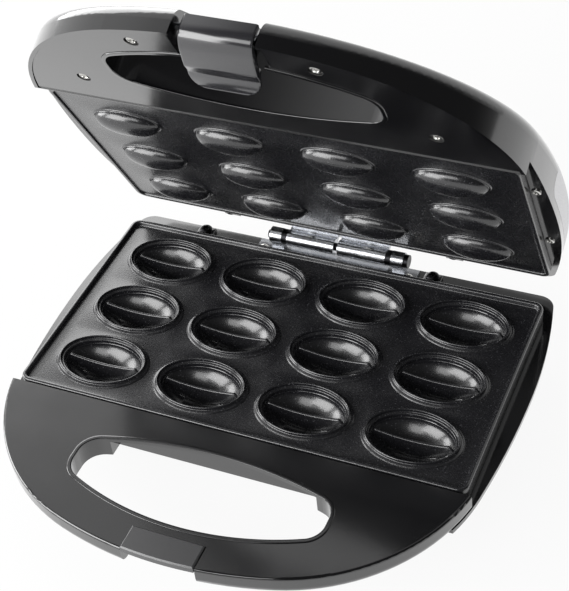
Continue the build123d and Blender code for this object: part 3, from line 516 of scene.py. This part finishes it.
LATCH_TIP, LATCH_HALF, LATCH_CORNER, LATCH_EDGE = -12.4, 15.8, 7.0, 0.8
LATCH_OUTER = ((-138.6, LATCH_TIP), (-138.2, -4.8), (-140.0, -0.5), (-140.0, 11.0),
               (-137.4, 16.6), (-130.0, 18.0))
LATCH_INNER = ((-136.6, LATCH_TIP), (-136.6, -3.3), (-134.95, -0.15), (-136.6, 0.1),
               (-136.6, 6.0), (-134.2, 13.0), (-130.0, 14.6))


def latch_half_width(level):
    """Half the latch's width at a level: the tongue's lower corners are quarter circles."""
    low = np.clip(LATCH_CORNER - (level - LATCH_TIP), 0, LATCH_CORNER)
    return LATCH_HALF - LATCH_CORNER + sqrt(LATCH_CORNER**2 - low**2)


def latch_section(outside, inside):
    """Section through the latch from its outer to its inner face, with eased edges."""
    across = inside - outside
    ease = min(LATCH_EDGE / max(np.hypot(*across), 1e-3), 0.45)
    width, inner_width = latch_half_width(outside[1]), latch_half_width(inside[1])
    right = []
    for share, pull in (
        (0.0, LATCH_EDGE), (ease * 0.2, LATCH_EDGE * 0.5), (ease * 0.5, LATCH_EDGE * 0.12),
        (ease, 0.0), (1 - ease * 0.6, 0.0), (1.0, 0.3),
    ):
        half = max(width + (inner_width - width) * share - pull, 0.5)
        right.append((half, *(outside + across * share)))
    left = [(-x, y, z) for x, y, z in right[::-1]]
    return left + right


def latch_grid():
    """Latch: sections carried along a path from the tongue over the step and the flat face to
    the rolled top, closest at the tip, where the corners are round."""
    outer = rounded_path(LATCH_OUTER, (0.5, 0.9, 3.0, 4.5), 10)
    inner = rounded_path(LATCH_INNER, (0.6, 0.4, 0.3, 2.0, 2.0), 8)
    onward = (1 - np.cos(np.linspace(0, pi / 2, 14)))[:-1, None]
    outer, inner = (np.concatenate([path[0] + (path[1] - path[0]) * onward, path[1:]])
                    for path in (outer, inner))
    grid = np.array([latch_section(outside, inside) for outside, inside in zip(outer, inner)])
    caps = [np.broadcast_to(grid[at].mean(0), grid[:1].shape) for at in (0, -1)]
    return np.concatenate([caps[0], grid, caps[1]])


# Lip of a finger slot: offset from the slot's edge, and rise over the cover.
SLOT_LIP = ((1.8, -0.8), (1.8, 0.08), (1.77, 0.24), (1.68, 0.37), (1.5, 0.44), (1.2, 0.465),
            (0.8, 0.47), (0.4, 0.465), (0.1, 0.44), (-0.08, 0.37), (-0.17, 0.24), (-0.2, 0.05),
            (-0.2, -0.8), (0.8, -0.8))


def slot_chain(shift, gap, steps=25):
    """Plan of a finger slot: two long arcs joined by round ends, from one side of a gap in
    the middle of the front arc round to the other side."""
    rear, front = (0.0, -270.5 + shift), (0.0, 17.7 + shift)
    rear_radius, front_radius, end_radius, end = 195.0, 135.0, 10.0, 50.3
    rear_corner_y = rear[1] + sqrt((rear_radius - end_radius) ** 2 - end**2)
    front_corner_y = front[1] - sqrt((front_radius - end_radius) ** 2 - end**2)
    rear_turn = atan2(rear_corner_y - rear[1], end)
    front_turn = atan2(front_corner_y - front[1], end)
    half_gap = asin(gap / front_radius)
    return arc_points([
        (front, front_radius, 1.5 * pi + half_gap, 2 * pi + front_turn),
        ((end, front_corner_y), end_radius, 2 * pi + front_turn, 2 * pi),
        ((end, rear_corner_y), end_radius, 0, rear_turn),
        (rear, rear_radius, rear_turn, pi - rear_turn),
        ((-end, rear_corner_y), end_radius, pi - rear_turn, pi),
        ((-end, front_corner_y), end_radius, pi, pi - front_turn),
        (front, front_radius, pi - front_turn, 1.5 * pi - half_gap),
    ], steps)


def slot_lip(shift, gap, level, rise):
    """Rounded lip round a finger slot: a section carried along the slot's edge. A gap leaves
    two closed ends."""
    grid = carried(slot_chain(shift, gap), [(out, level + rise * up) for out, up in SLOT_LIP])
    if gap:
        ends = [np.broadcast_to(grid[:, at].mean(0), grid[:, :1].shape) for at in (0, -1)]
        grid = np.concatenate([ends[0], grid, ends[1]], 1)
    return [(grid, True, not gap)]


# Finishes

def linear(hex_colour):
    """sRGB hex to linear RGBA."""
    parts = [int(hex_colour[i:i + 2], 16) / 255 for i in (1, 3, 5)]
    levels = [p / 12.92 if p <= 0.04045 else ((p + 0.055) / 1.055) ** 2.4 for p in parts]
    return (*levels, 1.0)


def add_node(tree, kind, values=None, links=None, **settings):
    """One node with its settings, its socket values and what feeds it."""
    node = tree.nodes.new(kind)
    for key, value in settings.items():
        setattr(node, key, value)
    for key, value in (values or {}).items():
        node.inputs[key].default_value = value
    for key, source in (links or {}).items():
        tree.links.new(source, node.inputs[key])
    return node


def new_finish(name, **values):
    """A material with an empty tree but for its shader, whose plain values are set."""
    finish = bpy.data.materials.new(name)
    finish.use_nodes = True
    tree = finish.node_tree
    tree.nodes.clear()
    shader = add_node(tree, "ShaderNodeBsdfPrincipled", values)
    add_node(tree, "ShaderNodeOutputMaterial", links={"Surface": shader.outputs[0]})
    where = add_node(tree, "ShaderNodeTexCoord").outputs["Object"]
    return finish, tree, shader, where


def moulded_plastic(name, colour, roughness, peel):
    """Injection-moulded plastic: gloss with the faint orange peel of a polished tool,
    and slightly duller patches where it is handled."""
    finish, tree, shader, where = new_finish(
        name, **{"Base Color": linear(colour), "IOR": 1.57, "Coat Weight": 1.0,
                 "Coat Roughness": roughness, "Coat IOR": 1.53})
    handled = add_node(tree, "ShaderNodeTexNoise", {"Scale": 34.0, "Detail": 3.0},
                       {"Vector": where})
    rough = add_node(tree, "ShaderNodeMapRange",
                     {"From Min": 0.3, "From Max": 0.7,
                      "To Min": roughness, "To Max": roughness + 0.07},
                     {"Value": handled.outputs["Fac"]})
    tree.links.new(rough.outputs[0], shader.inputs["Roughness"])
    # Orange peel is about 4 mm from crest to crest.
    wave = add_node(tree, "ShaderNodeTexNoise", {"Scale": 260.0, "Detail": 1.0}, {"Vector": where})
    bump = add_node(tree, "ShaderNodeBump", {"Strength": peel, "Distance": 0.00006},
                    {"Height": wave.outputs["Fac"]})
    tree.links.new(bump.outputs[0], shader.inputs["Normal"])
    return finish


def non_stick():
    """Cast aluminium with a sprayed and baked PTFE coat: near black, semi-matt, full of pale
    flecks 0.3 to 0.5 mm across, over the slight grain of the casting."""
    finish, tree, shader, where = new_finish("ptfe_coated_cast_aluminium", **{
        "IOR": 1.6, "Coat Weight": 0.6, "Coat Roughness": 0.13, "Coat IOR": 1.6})
    flecks = add_node(tree, "ShaderNodeTexVoronoi", {"Scale": 900.0, "Randomness": 1.0},
                      {"Vector": where})
    size = add_node(tree, "ShaderNodeTexNoise", {"Scale": 1500.0, "Detail": 2.0}, {"Vector": where})
    chosen = add_node(tree, "ShaderNodeMath", links={0: flecks.outputs["Distance"],
                                                    1: size.outputs["Fac"]}, operation="ADD")
    ramp = add_node(tree, "ShaderNodeValToRGB", links={"Fac": chosen.outputs[0]})
    ramp.color_ramp.elements[0].position = 0.52
    ramp.color_ramp.elements[0].color = linear("#5c5c60")
    ramp.color_ramp.elements[1].position = 0.66
    ramp.color_ramp.elements[1].color = linear("#1a1a1d")
    tree.links.new(ramp.outputs[0], shader.inputs["Base Color"])
    grain = add_node(tree, "ShaderNodeTexNoise", {"Scale": 1200.0, "Detail": 3.0},
                     {"Vector": where})
    rough = add_node(tree, "ShaderNodeMapRange", {"To Min": 0.2, "To Max": 0.36},
                     {"Value": grain.outputs["Fac"]})
    tree.links.new(rough.outputs[0], shader.inputs["Roughness"])
    bump = add_node(tree, "ShaderNodeBump", {"Strength": 0.6, "Distance": 0.00005},
                    {"Height": grain.outputs["Fac"]})
    tree.links.new(bump.outputs[0], shader.inputs["Normal"])
    tree.links.new(bump.outputs[0], shader.inputs["Coat Normal"])
    return finish


def worked_metal(name, colour, roughness, stretch, grain_scale, strength):
    """Metal whose grain runs along X: stretched noise shifts the roughness and the height."""
    finish, tree, shader, where = new_finish(
        name, **{"Base Color": linear(colour), "Metallic": 1.0})
    mapped = add_node(tree, "ShaderNodeMapping", {"Scale": stretch}, {"Vector": where})
    grain = add_node(tree, "ShaderNodeTexNoise", {"Scale": grain_scale, "Detail": 4.0},
                     {"Vector": mapped.outputs[0]})
    rough = add_node(tree, "ShaderNodeMapRange",
                     {"From Min": 0.25, "From Max": 0.75,
                      "To Min": roughness * 0.7, "To Max": roughness * 1.4},
                     {"Value": grain.outputs["Fac"]})
    tree.links.new(rough.outputs[0], shader.inputs["Roughness"])
    bump = add_node(tree, "ShaderNodeBump", {"Strength": strength, "Distance": 0.00004},
                    {"Height": grain.outputs["Fac"]})
    tree.links.new(bump.outputs[0], shader.inputs["Normal"])
    return finish


def dull_solid(name, colours, roughness, scale, strength):
    """Fired, pressed or moulded body: two close tones in soft patches and a fine grain."""
    finish, tree, shader, where = new_finish(name, **{"Roughness": roughness, "IOR": 1.5})
    patch = add_node(tree, "ShaderNodeTexNoise", {"Scale": scale, "Detail": 4.0}, {"Vector": where})
    ramp = add_node(tree, "ShaderNodeValToRGB", links={"Fac": patch.outputs["Fac"]})
    for element, colour, position in zip(ramp.color_ramp.elements, colours, (0.35, 0.65)):
        element.color, element.position = linear(colour), position
    tree.links.new(ramp.outputs[0], shader.inputs["Base Color"])
    bump = add_node(tree, "ShaderNodeBump", {"Strength": strength, "Distance": 0.0001},
                    {"Height": patch.outputs["Fac"]})
    tree.links.new(bump.outputs[0], shader.inputs["Normal"])
    return finish


def lamp_lens(name, colour):
    """Clear-moulded polycarbonate lens: tinted, glossy, with a faint fluted grain inside."""
    finish, tree, shader, where = new_finish(
        name, **{"Base Color": linear(colour), "IOR": 1.58, "Roughness": 0.08,
                 "Transmission Weight": 0.75})
    flute = add_node(tree, "ShaderNodeTexWave", {"Scale": 260.0}, {"Vector": where},
                     wave_type="RINGS")
    bump = add_node(tree, "ShaderNodeBump", {"Strength": 0.2, "Distance": 0.0001},
                    {"Height": flute.outputs["Fac"]})
    tree.links.new(bump.outputs[0], shader.inputs["Normal"])
    return finish


SHELL_COLOUR = "#0a0a0c"
FINISHES = {}


def finishes():
    """Every finish by its record slot, made once."""
    if FINISHES:
        return FINISHES
    FINISHES.update({
        "nonstick": non_stick(),
        "red_lens": lamp_lens("polycarbonate_red_moulded", "#d01710"),
        "green_lens": lamp_lens("polycarbonate_green_moulded", "#169a34"),
    })
    for slot, *look in (
        ("black_shell", "abs_gloss_black_moulded", SHELL_COLOUR, 0.1, 0.25),
        ("black_cover", "abs_satin_black_moulded", "#0d0d0f", 0.13, 0.3),
        ("latch_plastic", "abs_gloss_dark_grey_moulded", "#2a2a2d", 0.16, 0.25),
        ("catch_plastic", "polyamide_satin_grey_moulded", "#2a2a2c", 0.34, 0.5),
    ):
        FINISHES[slot] = moulded_plastic(*look)
    for slot, *look in (
        ("brushed_panel", "stainless_steel_brushed", "#cfcfd1", 0.28, (1, 30, 30), 60.0, 0.3),
        ("zinc_steel", "steel_sheet_zinc_plated", "#c2c4c8", 0.22, (1, 3, 3), 220.0, 0.15),
        ("bright_screw", "steel_nickel_plated", "#cbcac6", 0.16, (1, 1, 1), 300.0, 0.1),
        ("black_screw", "steel_black_oxide", "#2c2c2e", 0.3, (1, 1, 1), 400.0, 0.3),
        ("heater_sheath", "steel_tube_oxidised", "#5b5550", 0.45, (1, 6, 6), 120.0, 0.3),
        ("reflector_sheet", "steel_sheet_aluminised", "#c6c7c8", 0.3, (1, 2, 2), 90.0, 0.2),
    ):
        FINISHES[slot] = worked_metal(*look)
    for slot, *look in (
        ("ceramic", "steatite_ceramic_fired", ("#e6e0d2", "#d9d1c0"), 0.45, 140.0, 0.3),
        ("thermostat_body", "phenolic_resin_pressed", ("#2e1d15", "#3b261b"), 0.38, 200.0, 0.3),
        ("rubber_black", "nitrile_rubber_moulded", ("#17171a", "#222225"), 0.7, 260.0, 0.6),
    ):
        FINISHES[slot] = dull_solid(*look)
    return FINISHES


# Settings

class CookieMakerLook(bpy.types.PropertyGroup):
    """Colours and light that a user would change."""
    shell: bpy.props.FloatVectorProperty(
        name="Shell", description="Colour of the moulded shells", subtype="COLOR", size=3,
        default=linear(SHELL_COLOUR)[:3], min=0, max=1)
    floor: bpy.props.FloatVectorProperty(
        name="Floor", description="Colour of the floor", subtype="COLOR", size=3,
        default=(0.9, 0.9, 0.9), min=0, max=1)
    key_power: bpy.props.FloatProperty(
        name="Key light", description="Power of the large softbox at the rear left", default=7.0,
        min=0, unit="POWER")
    front_power: bpy.props.FloatProperty(
        name="Front light", description="Power of the softbox at the left in front", default=16.0,
        min=0, unit="POWER")
    low_power: bpy.props.FloatProperty(
        name="Low light", description="Power of the low softbox at the left", default=5.0, min=0,
        unit="POWER")
    fill_power: bpy.props.FloatProperty(
        name="Fill light", description="Power of the weak softbox in front", default=2.5, min=0,
        unit="POWER")
    room: bpy.props.FloatProperty(
        name="Room", description="Strength of the light from all round", default=0.4, min=0, max=2)


class PieceOperator:
    """What every operator that makes a piece shares."""
    bl_options = {"REGISTER"}

    def execute(self, context):
        self.make(context.scene.cookie_maker)
        return {"FINISHED"}


class COOKIEMAKER_OT_finish_frame(PieceOperator, bpy.types.Operator):
    """Give every CAD piece that stays its real finish"""
    bl_idname = "cookiemaker.finish_frame"
    bl_label = "Finish the CAD pieces"

    def make(self, look):
        made = finishes()
        shell = made["black_shell"].node_tree.nodes["Principled BSDF"]
        shell.inputs["Base Color"].default_value = (*look.shell, 1.0)
        slots = {part["node"]: part["material_slot"] for part in frame["record"]["subparts"]}
        for name, node in frame["nodes"].items():
            node.data.materials.clear()
            node.data.materials.append(made[slots[name]])


class COOKIEMAKER_OT_lower_plate(PieceOperator, bpy.types.Operator):
    """Make the lower baking plate with its collared bowls"""
    bl_idname = "cookiemaker.lower_plate"
    bl_label = "Lower plate"

    def make(self, look):
        make_piece("lower_plate", lower_plate_grids(), "base", finishes()["nonstick"],
                   ("base_plate",), 50.0)


class COOKIEMAKER_OT_upper_plate(PieceOperator, bpy.types.Operator):
    """Make the upper baking plate with its domes"""
    bl_idname = "cookiemaker.upper_plate"
    bl_label = "Upper plate"

    def make(self, look):
        make_piece("upper_plate", upper_plate_grids(), "lid", finishes()["nonstick"],
                   ("lid_plate",), 50.0)


class COOKIEMAKER_OT_screws(PieceOperator, bpy.types.Operator):
    """Make every set of cross-head screws"""
    bl_idname = "cookiemaker.screws"
    bl_label = "Screws"

    def make(self, look):
        for node, body, slot, seat, places, (radius, height, shank, length), along in hardware():
            grids = []
            for number, place in enumerate(places):
                grids += placed(cross_screw(radius, height, shank, length, 0.4 + 0.7 * number),
                                seat, place, along)
            make_piece(node + "_cross_head", grids, body, finishes()[slot], (node,), 30.0)


class COOKIEMAKER_OT_latch(PieceOperator, bpy.types.Operator):
    """Make the hanging latch"""
    bl_idname = "cookiemaker.latch"
    bl_label = "Latch"

    def make(self, look):
        grids = [(on_latch(latch_grid()), False, True)]
        boss = lathe([(0, 0), (3.7, 0), (4.0, 0.3), (4.0, 4.7), (3.7, 5.0), (0, 5.0)])
        for near, far in ((-LATCH_HALF, 5.0 - LATCH_HALF), (LATCH_HALF - 5.0, LATCH_HALF)):
            grids += placed([(boss, False, True)], on_latch, (near, LATCH_Y, LATCH_Z), (1, 0, 0))
            web = eased_block((near, -137.4, 7.2), (far, LATCH_Y, 14.8), 0.3)
            grids.append((on_latch(web), False, True))
        make_piece("hanging_latch", grids, "latch", finishes()["latch_plastic"],
                   ("latch",), 40.0)


class COOKIEMAKER_OT_slot_lips(PieceOperator, bpy.types.Operator):
    """Make the rounded lips of the two finger slots"""
    bl_idname = "cookiemaker.slot_lips"
    bl_label = "Slot lips"

    def make(self, look):
        for name, body, slot, seat, shape in (
            ("lower_slot_lip", "base", "black_cover", on_base, (0.0, 0.0, 2.25, 1)),
            ("upper_slot_lip", "lid", "black_shell", on_lid, (-4.7, 17.3, 3.3, -1)),
        ):
            grids = [(seat(grid), rows, columns) for grid, rows, columns in slot_lip(*shape)]
            make_piece(name, grids, body, finishes()[slot], (), 60.0)


class COOKIEMAKER_OT_feet(PieceOperator, bpy.types.Operator):
    """Make the four rubber feet"""
    bl_idname = "cookiemaker.feet"
    bl_label = "Feet"

    def make(self, look):
        for node, x, y in FEET:
            grid = on_base(foot_grid() + (x, y, TABLE_LEVEL))
            make_piece(node + "_dished", [(grid, False, True)], "base",
                       finishes()["rubber_black"], (node,))


class COOKIEMAKER_OT_stage(PieceOperator, bpy.types.Operator):
    """Set the floor, the light and the camera"""
    bl_idname = "cookiemaker.stage"
    bl_label = "Stage"

    def make(self, look):
        set_floor(look)
        set_room(look)
        set_lamps(look)
        set_camera()


def combined(tree, operation, first, second):
    """What a maths node makes of two sockets."""
    node = add_node(tree, "ShaderNodeMath", links={0: first, 1: second}, operation=operation)
    return node.outputs[0]


def set_floor(look):
    """White floor that keeps the shadow: part plain diffuse, part even white to the eye."""
    half, evenness = 4.0, 0.92
    corners = [(-half, -half, 0), (half, -half, 0), (half, half, 0), (-half, half, 0)]
    mesh = bpy.data.meshes.new("floor")
    mesh.from_pydata(corners, [], [(0, 1, 2, 3)])
    floor = bpy.data.objects.new("floor", mesh)
    bpy.context.scene.collection.objects.link(floor)
    paper = bpy.data.materials.new("paper_backdrop_matt")
    paper.use_nodes = True
    tree = paper.node_tree
    tree.nodes.clear()
    matt = add_node(tree, "ShaderNodeBsdfDiffuse", {"Color": (*look.floor, 1.0)})
    glow = add_node(tree, "ShaderNodeEmission", {"Strength": 1.0})
    path = add_node(tree, "ShaderNodeLightPath").outputs
    direct = combined(tree, "MAXIMUM", path["Is Camera Ray"], path["Is Glossy Ray"])
    direct = combined(tree, "MAXIMUM", direct, path["Is Transmission Ray"])
    amount = add_node(tree, "ShaderNodeMath", {1: evenness}, {0: direct}, operation="MULTIPLY")
    mix = add_node(tree, "ShaderNodeMixShader",
                   links={0: amount.outputs[0], 1: matt.outputs[0], 2: glow.outputs[0]})
    add_node(tree, "ShaderNodeOutputMaterial", links={"Surface": mix.outputs[0]})
    mesh.materials.append(paper)


# Direction, from the object, of the brightest part of the room that it mirrors.
BRIGHT_SIDE = (-0.48, 0.85, -0.21)


def set_room(look):
    """White surroundings to the eye. What the object mirrors is a room that is light behind it
    and to its left, and falls off overhead, in front and to the right."""
    world = bpy.data.worlds.new("product_room")
    world.use_nodes = True
    tree = world.node_tree
    tree.nodes.clear()
    bearing = add_node(tree, "ShaderNodeTexCoord").outputs["Generated"]
    facing = add_node(tree, "ShaderNodeVectorMath", {1: BRIGHT_SIDE}, {0: bearing},
                      operation="DOT_PRODUCT")
    fall = add_node(tree, "ShaderNodeMapRange",
                    {"From Min": -0.2, "From Max": 0.35, "To Min": 0.056, "To Max": 0.8},
                    {"Value": facing.outputs["Value"]}, interpolation_type="SMOOTHSTEP")
    path = add_node(tree, "ShaderNodeLightPath").outputs
    level = add_node(tree, "ShaderNodeMath", {1: look.room}, {0: path["Is Diffuse Ray"]},
                     operation="MULTIPLY")
    mirrored = combined(tree, "MULTIPLY", fall.outputs[0], path["Is Glossy Ray"])
    plain = combined(tree, "ADD", level.outputs[0], mirrored)
    seen = combined(tree, "MAXIMUM", path["Is Camera Ray"], path["Is Transmission Ray"])
    strength = combined(tree, "MAXIMUM", plain, seen)
    shown = add_node(tree, "ShaderNodeBackground", {"Color": (1.0, 1.0, 1.0, 1.0)},
                     {"Strength": strength})
    add_node(tree, "ShaderNodeOutputWorld", links={"Surface": shown.outputs[0]})
    bpy.context.scene.world = world


LIT_POINT = Vector((0.0, 0.0, 0.08))


def set_lamps(look):
    """Softboxes: a broad one at the rear left, one at the left in front, 20 degrees up, a low
    one at the left and a weak one in front."""
    for name, power, size, place in (
        ("softbox_key", look.key_power, 0.9, (-0.86, 0.86, 0.52)),
        ("softbox_front", look.front_power, 0.9, (-0.8, -0.95, 0.52)),
        ("softbox_low", look.low_power, 0.5, (-1.0, -0.12, 0.3)),
        ("softbox_fill", look.fill_power, 0.5, (-0.12, -0.95, 0.8)),
    ):
        lamp = bpy.data.lights.new(name, "AREA")
        lamp.energy, lamp.size = power, size
        box = bpy.data.objects.new(name, lamp)
        box.location = place
        toward = LIT_POINT - box.location
        box.rotation_euler = toward.to_track_quat("-Z", "Y").to_euler()
        bpy.context.scene.collection.objects.link(box)


def set_camera():
    """The photograph's view, from its fitted bearings, distance, lens and shift."""
    azimuth, elevation, roll = radians(27.82), radians(41.87), radians(-7.12)
    distance = 747.18
    target = np.array((-18.88, 38.76, 0.0)) + SHIFT
    back = np.array((sin(azimuth) * cos(elevation), -cos(azimuth) * cos(elevation), sin(elevation)))
    right = np.cross((0, 0, 1), back)
    right /= np.linalg.norm(right)
    up = np.cross(back, right)
    across = cos(roll) * right + sin(roll) * up
    upright = -sin(roll) * right + cos(roll) * up
    place = (target + back * distance) * MM
    lens = bpy.data.cameras.new("photo_camera")
    lens.lens, lens.sensor_width = 92.05, 36.0
    lens.shift_x, lens.shift_y = 0.01005, -0.02103
    lens.clip_start, lens.clip_end = 0.02, 20.0
    lens.dof.use_dof = False
    camera = bpy.data.objects.new("photo_camera", lens)
    matrix = Matrix.Identity(4)
    for column, values in enumerate((across, upright, back, place)):
        for row in range(3):
            matrix[row][column] = values[row]
    camera.matrix_world = matrix
    bpy.context.scene.collection.objects.link(camera)
    bpy.context.scene.camera = camera


class COOKIEMAKER_PT_panel(bpy.types.Panel):
    """Sidebar panel with every piece of the cookie maker"""
    bl_idname = "COOKIEMAKER_PT_panel"
    bl_label = "Cookie maker"
    bl_space_type = "VIEW_3D"
    bl_region_type = "UI"
    bl_category = "Cookie maker"

    def draw(self, context):
        look = context.scene.cookie_maker
        for name in look.__annotations__:
            self.layout.prop(look, name)
        for operator in OPERATORS:
            self.layout.operator(operator.bl_idname)


OPERATORS = (
    COOKIEMAKER_OT_finish_frame,
    COOKIEMAKER_OT_lower_plate,
    COOKIEMAKER_OT_upper_plate,
    COOKIEMAKER_OT_screws,
    COOKIEMAKER_OT_latch,
    COOKIEMAKER_OT_slot_lips,
    COOKIEMAKER_OT_feet,
    COOKIEMAKER_OT_stage,
)
CLASSES = (CookieMakerLook, *OPERATORS, COOKIEMAKER_PT_panel)


def register():
    """Register the classes and the scene's settings."""
    for item in CLASSES:
        bpy.utils.register_class(item)
    bpy.types.Scene.cookie_maker = bpy.props.PointerProperty(type=CookieMakerLook)


def unregister():
    """Take the settings and the classes away."""
    del bpy.types.Scene.cookie_maker
    for item in reversed(CLASSES):
        bpy.utils.unregister_class(item)


def main():
    """Make every piece in order."""
    register()
    bpy.context.scene.view_settings.view_transform = "Standard"
    for operator in OPERATORS:
        group, name = operator.bl_idname.split(".")
        getattr(getattr(bpy.ops, group), name)()


if __name__ == "__main__":
    main()
